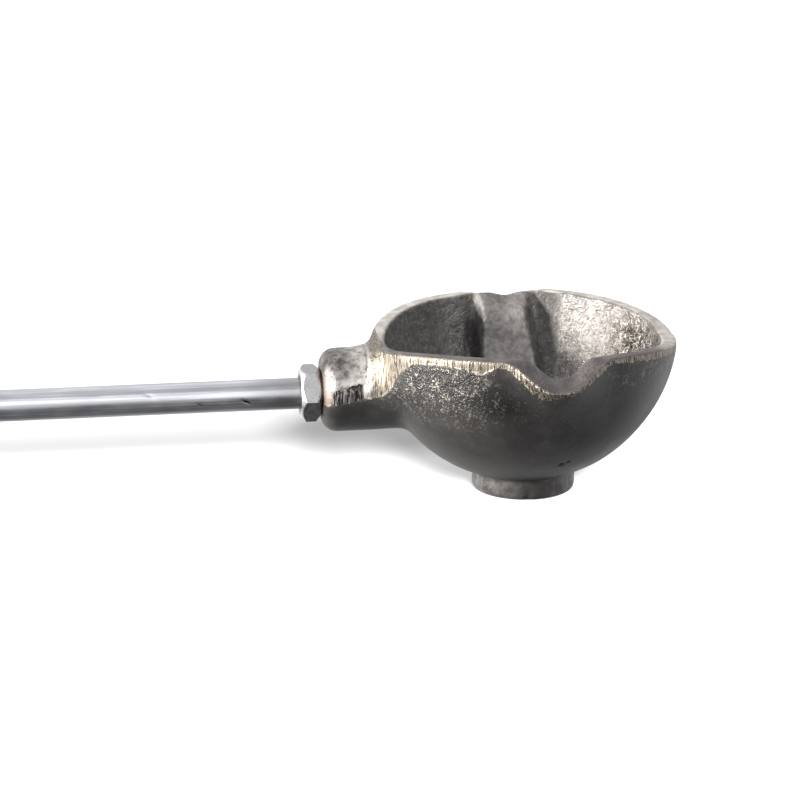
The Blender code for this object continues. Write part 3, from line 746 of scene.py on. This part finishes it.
def wood_material():
    g = Graph("turned_hardwood", Coat_Weight=0.35, Coat_Roughness=0.22)
    at = g.place((0.035, 1.0, 1.0))
    warp = g.noise(at, 0.12, 3.0, 0.5)
    rings = g.node("ShaderNodeTexWave", {"Vector": at, "Scale": 0.13, "Distortion": 6.0, "Detail": 4.0,
                                         "Detail Scale": 1.6}, bands_direction="Z").outputs["Fac"]
    pores = g.noise(g.place((0.12, 5.0, 5.0)), 1.0, 3.0, 0.7)
    tone = g.math("ADD", g.math("MULTIPLY", rings, 0.6), g.math("MULTIPLY", warp, 0.5))
    colour = g.tint(g.step(tone, 0.2, 0.95), (0.15, 0.058, 0.020), (0.235, 0.102, 0.038))
    colour = g.tint(g.step(pores, 0.60, 0.72), colour, (0.05, 0.02, 0.009))
    g.set("Base Color", colour)
    g.set("Roughness", g.step(pores, 0.4, 0.75, 0.38, 0.55))
    turning = g.noise(g.place((2.2, 0.02, 0.02)), 1.0, 2.0, 0.6)
    height = g.math("ADD", g.math("MULTIPLY", pores, -0.5), g.math("MULTIPLY", turning, 0.35))
    g.set("Normal", g.bump(height, 0.04))
    return g.material


# The other pieces

def hexagon_radius(turn, across_flats):
    """Radius of a hexagon's outline, whose flats face turns of 0 and each sixth of a circle from there."""
    return across_flats / 2 / np.cos((turn + math.pi / 6) % (math.pi / 3) - math.pi / 6)


def nut_body(name, front, back, across_flats, hole, turn, dome=0.0):
    """A nut whose hexagon is cut back by turned cones, with softened edges and a painted highlight on its
    ends and chamfers. A dome closes its back.
    """
    sixth = np.radians(np.linspace(-30, 30, 25)[:-1])
    phi = np.concatenate([np.radians(60 * k) + sixth for k in range(6)])
    hexagon = hexagon_radius(phi, across_flats)
    face, slope, soft = across_flats / 2 * 0.94, math.tan(math.radians(49)), 0.10

    def outer(x):
        cone = face + (front - x if dome else min(front - x, x - back)) * slope
        share = np.clip(0.5 + (cone - hexagon) / (2 * soft), 0, 1)
        return cone * (1 - share) + hexagon * share - soft * share * (1 - share)

    def ring(x, radius):
        y, z = radius * np.cos(phi + turn), ROD_Z + radius * np.sin(phi + turn)
        return np.stack([np.full(len(phi), x), y, z], 1)

    bore_end = front - CAP_BORE
    rings = [ring(bore_end, hole)] if dome else []
    rings += [ring(front - 0.5, hole), ring(front, hole + 0.4), ring(front, outer(front) * 0.985)]
    steps = front - (front - back) * (1 - np.cos(np.linspace(0, math.pi, 34))) / 2
    rings += [ring(x, outer(x)) for x in steps[1:-1]]
    if dome:
        rings += [ring(back, outer(back)), ring(back, face + 0.15)]
        arc = np.radians(np.linspace(0, 85, 18))
        rings += [ring(back - dome * math.sin(t), face * math.cos(t)) for t in arc]
        ends = [(bore_end, 0, ROD_Z), (back - dome, 0, ROD_Z)]
    else:
        rings += [ring(back, outer(back) * 0.985), ring(back, hole + 0.4), ring(back + 0.5, hole)]
        ends = [None, None]
    made = loft(name, rings, *ends, closed=not dome, smooth_angle=28)
    co = coordinates(made)
    radius = np.hypot(co[:, 1], co[:, 2] - ROD_Z)
    flat = hexagon_radius(np.arctan2(co[:, 2] - ROD_Z, co[:, 1]) - turn, across_flats)
    # Painted highlight: the ends and chamfers, all but the hexagon's flats and the bore, are painted near
    # white, fainter on the dome
    bright = np.where(co[:, 0] < back - 0.01, 0.3, 1.0 * (radius > hole + 0.6))
    add_attribute(made, "painted_end_highlight", smooth((flat - radius) / 0.12) * bright)
    return made


def turned(name, profile, sides=96, closed=False, smooth_angle=28):
    """A piece turned about the rod's axis. The profile gives (x, radius), with radius 0 where it closes."""
    rings = [ring_about_x(x, r, sides) for x, r in profile if r > 0]
    ends = [(x, 0, ROD_Z) for x, r in profile if r <= 0]
    start, end = ends if len(ends) == 2 else (None, None)
    return loft(name, rings, start, end, closed, smooth_angle)


# Small dents in the rod's near side: x, how far below its middle, half length, half width and depth
NICKS = ((-72.6, 0.75, 1.0, 0.36, 0.42), (-84.4, 0.95, 0.9, 0.28, 0.20), (-97.0, -2.0, 1.4, 0.5, 0.12))


def rod():
    shoulder = box_in_mm("wood_grip")[1].x + CLEARANCE
    front, tail = ROD_HIGH.x, ROD_LOW.x
    xs = np.concatenate([np.linspace(front - 0.8, -60, 12), np.arange(-60.25, -110, -0.25),
                         np.linspace(-112, shoulder, 20)])
    profile = [(front, 0), (front, ROD_R - 0.8)] + [(x, ROD_R) for x in xs]
    profile += [(shoulder, TANG_R), (tail + 0.6, TANG_R), (tail, TANG_R - 0.6), (tail, 0)]
    made = turned("handle_rod_fine", profile, 128)
    co = coordinates(made)
    painted_nick_shade = np.zeros(len(co))
    for x, below, length, width, deep in NICKS:
        side = np.arctan2(co[:, 2] - ROD_Z, -co[:, 1]) * ROD_R + below + 0.45 * (co[:, 0] - x)
        near = bell(co[:, 0] - x, length) * bell(side, width) * (co[:, 1] < 0)
        shrink = 1 - deep * near / ROD_R
        co[:, 1] *= shrink
        co[:, 2] = ROD_Z + (co[:, 2] - ROD_Z) * shrink
        painted_nick_shade = np.maximum(painted_nick_shade, near * deep / NICKS[0][-1])
    set_coordinates(made, co)
    # The dents' painted shade, read by the steel's material
    add_attribute(made, "painted_nick_shade", smooth((painted_nick_shade - 0.15) / 0.4))
    # The rod is darker towards the nut
    add_attribute(made, "darker_metal", 0.75 * smooth((co[:, 0] + 78) / 18))
    return made


def grip():
    """The turned wood, with two grooves behind the ferrule."""
    low, high = box_in_mm("wood_grip")
    front, back = high.x, low.x
    neck_end = front - NECK_LENGTH
    body = neck_end - back
    profile = [(front, TANG_HOLE_R), (front, NECK_R - 0.4), (front - 0.4, NECK_R), (neck_end, NECK_R)]
    for t in np.linspace(0, 1, 150):
        radius = WAIST_R + BELLY * math.sin(math.pi * min(1, t / 0.78)) ** 1.3
        radius += BULB * float(smooth((t - 0.62) / 0.3))
        end = max(0.0, (t - 0.93) / 0.07)
        radius -= END_ROUND * (1 - math.sqrt(1 - end * end * 0.98))
        radius -= sum(0.45 * bell((t - groove) * body, 0.5) for groove in (0.035, 0.055))
        profile.append((neck_end - body * t, radius))
    profile.append((back, TANG_HOLE_R))
    return turned("wood_grip_fine", profile, 144, closed=True, smooth_angle=40)


def ferrule():
    """The steel ring on the grip's neck, with rounded edges and two rolled grooves."""
    low, high = box_in_mm("ferrule")
    front, back, outer = high.x, low.x, high.y
    inner, edge, turns = outer - FERRULE_WALL, 0.5, np.radians((30, 60, 90))
    profile = [(front, inner), (front, outer - edge)]
    profile += [(front - edge * (1 - math.cos(t)), outer - edge * (1 - math.sin(t))) for t in turns]
    for x in np.linspace(front - 1.0, back + 1.0, 90):
        groove = sum(0.4 * bell(x - front - (back - front) * share, 0.55) for share in (0.28, 0.72))
        profile.append((x, outer - groove))
    profile += [(back + edge * (1 - math.sin(t)), outer - edge * (1 - math.cos(t))) for t in turns]
    profile.append((back, inner))
    return turned("ferrule_fine", profile, 96, closed=True)


def washer():
    low, high = box_in_mm("end_washer")
    front, back, edge = high.x, low.x, 0.3
    outer, middle, half = high.y - edge, (front + back) / 2, (front - back) / 2
    profile = [(front, TANG_HOLE_R), (front, outer)]
    for t in np.radians((20, 45, 90, 135, 160)):
        profile.append((middle + half * math.cos(t), outer + edge * math.sin(t)))
    profile += [(back, outer), (back, TANG_HOLE_R)]
    return turned("end_washer_fine", profile, 96, closed=True)


def nuts():
    low, high = box_in_mm("lock_nut")
    lock = nut_body("lock_nut_fine", high.x, low.x, NUT_ACROSS_FLATS, ROD_R + CLEARANCE, NUT_TURN)
    low, high = box_in_mm("end_cap_nut")
    back = high.x - CAP_THICK
    cap = nut_body("end_cap_nut_fine", high.x, back, CAP_ACROSS_FLATS, TANG_HOLE_R, 0.0, back - low.x)
    return lock, cap


# The stage

def add_area(name, where, aim, size, power, colour=(1, 1, 1)):
    data = bpy.data.lights.new(name, "AREA")
    data.shape, data.size, data.size_y = "RECTANGLE", size[0], size[1]
    data.energy, data.color = power, colour
    made = bpy.data.objects.new(name, data)
    made.location = where
    made.rotation_euler = (Vector(aim) - Vector(where)).to_track_quat("-Z", "Y").to_euler()
    bpy.context.scene.collection.objects.link(made)
    return made


def only_lights(light, obj, state):
    """Links the light to the object alone, or to everything but the object."""
    linked = bpy.data.collections.new(light.name + "_" + obj.name)
    linked.objects.link(obj)
    linked.collection_objects[0].light_linking.link_state = state
    light.light_linking.receiver_collection = linked


def white_floor():
    """A floor that glows a little, and more beside the foot: a painted pool of light that fades the bowl's
    shadow out there.
    """
    side = 6000
    corners = [(-side, -side, 0), (side, -side, 0), (side, side, 0), (-side, side, 0)]
    floor = mesh_object("floor", corners, [(0, 1, 2, 3)])
    floor.location.z = -0.02 * MM
    g = Graph("floor", Roughness=1.0, Specular_IOR_Level=0.0)
    g.shader.inputs["Base Color"].default_value = (0.35, 0.35, 0.35, 1)
    g.shader.inputs["Emission Color"].default_value = (1, 1, 1, 1)
    # Painted light: a glowing patch beside the foot lifts the shadow there
    from_spot = g.node("ShaderNodeVectorMath", {0: g.place(), 1: (-18, 14, 0)}, operation="DISTANCE")
    near_foot = from_spot.outputs["Value"]
    g.set("Emission Strength", g.step(near_foot, 8, 32, 0.45, 0.12))
    floor.data.materials.append(g.material)
    floor.visible_glossy = False
    return floor


def stage():
    floor = white_floor()
    studio_world()

    key = add_area("key", (-0.87, -0.19, 0.20), (0, 0, 0.03), (0.10, 0.16), 30, (1.0, 0.97, 0.92))
    side = add_area("left_front", (-0.62, -0.62, 0.14), (0, 0, 0.03), (0.40, 0.30), 0.4)
    over = add_area("top_front", (-0.05, -0.86, 0.40), (-0.05, 0, 0.03), (1.1, 0.82), 4.5)
    sun = bpy.data.objects.new("floor_sun", bpy.data.lights.new("floor_sun", "SUN"))
    sun.data.energy, sun.data.angle = 24.0, math.radians(16)
    sun.rotation_euler = Vector((0.0, 0.90, -0.41)).to_track_quat("-Z", "Y").to_euler()
    bpy.context.scene.collection.objects.link(sun)
    for light in (key, side, over):
        only_lights(light, floor, "EXCLUDE")
    only_lights(sun, floor, "INCLUDE")


def studio_world():
    """A pale room, bright above and behind, and dim in front and to the right."""
    world = bpy.data.worlds.new("studio")
    world.use_nodes = True
    tree = world.node_tree
    split = tree.nodes.new("ShaderNodeSeparateXYZ")
    tree.links.new(tree.nodes.new("ShaderNodeTexCoord").outputs["Generated"], split.inputs[0])
    total = None
    for axis, low, high, start, end in (("Z", -0.05, 0.65, 0.16, 0.60), ("Y", 0.0, 0.8, 0.0, 0.75),
                                        ("Z", 0.70, 0.95, 0.0, 0.40), ("X", 0.55, 1.0, 0.0, 0.75)):
        ramp = tree.nodes.new("ShaderNodeMapRange")
        ramp.interpolation_type = "SMOOTHSTEP"
        for key, value in zip(("From Min", "From Max", "To Min", "To Max"), (low, high, start, end)):
            ramp.inputs[key].default_value = value
        tree.links.new(split.outputs[axis], ramp.inputs["Value"])
        if total is None:
            total = ramp.outputs[0]
        else:
            add = tree.nodes.new("ShaderNodeMath")
            tree.links.new(total, add.inputs[0])
            tree.links.new(ramp.outputs[0], add.inputs[1])
            total = add.outputs[0]
    tree.links.new(total, tree.nodes["Background"].inputs["Strength"])
    tree.nodes["Background"].inputs["Color"].default_value = (1, 1, 1, 1)
    bpy.context.scene.world = world


def camera():
    data = bpy.data.cameras.new("camera")
    data.lens, data.sensor_width = 93.94, 36.0
    data.clip_start, data.clip_end = 0.01, 50.0
    made = bpy.data.objects.new("camera", data)
    azimuth, elevation = math.radians(-8.9), math.radians(16.0)
    level = math.cos(elevation)
    back = Vector((math.sin(azimuth) * level, -math.cos(azimuth) * level, math.sin(elevation)))
    aim, distance = Vector((-0.0310, 0.0111, 0.0215)), 0.550
    made.location = aim + back * distance
    made.rotation_euler = (-back).to_track_quat("-Z", "Y").to_euler()
    bpy.context.scene.collection.objects.link(made)
    bpy.context.scene.camera = made
    bpy.context.scene.view_settings.view_transform = "Standard"


def add_piece(obj, material, body, node):
    obj.data.materials.clear()
    obj.data.materials.append(material)
    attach(obj, body)
    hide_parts(node)


camera()
stage()
iron, steel, zinc, wood = iron_material(), rod_material(), zinc_material(), wood_material()
lock_nut, cap_nut = nuts()
add_piece(head(), iron, "head", "ladle_head")
add_piece(rod(), steel, "handle", "handle_rod")
add_piece(lock_nut, zinc, "lock_nut", "lock_nut")
add_piece(grip(), wood, "handle", "wood_grip")
add_piece(ferrule(), zinc, "handle", "ferrule")
add_piece(washer(), zinc, "handle", "end_washer")
add_piece(cap_nut, zinc, "handle", "end_cap_nut")
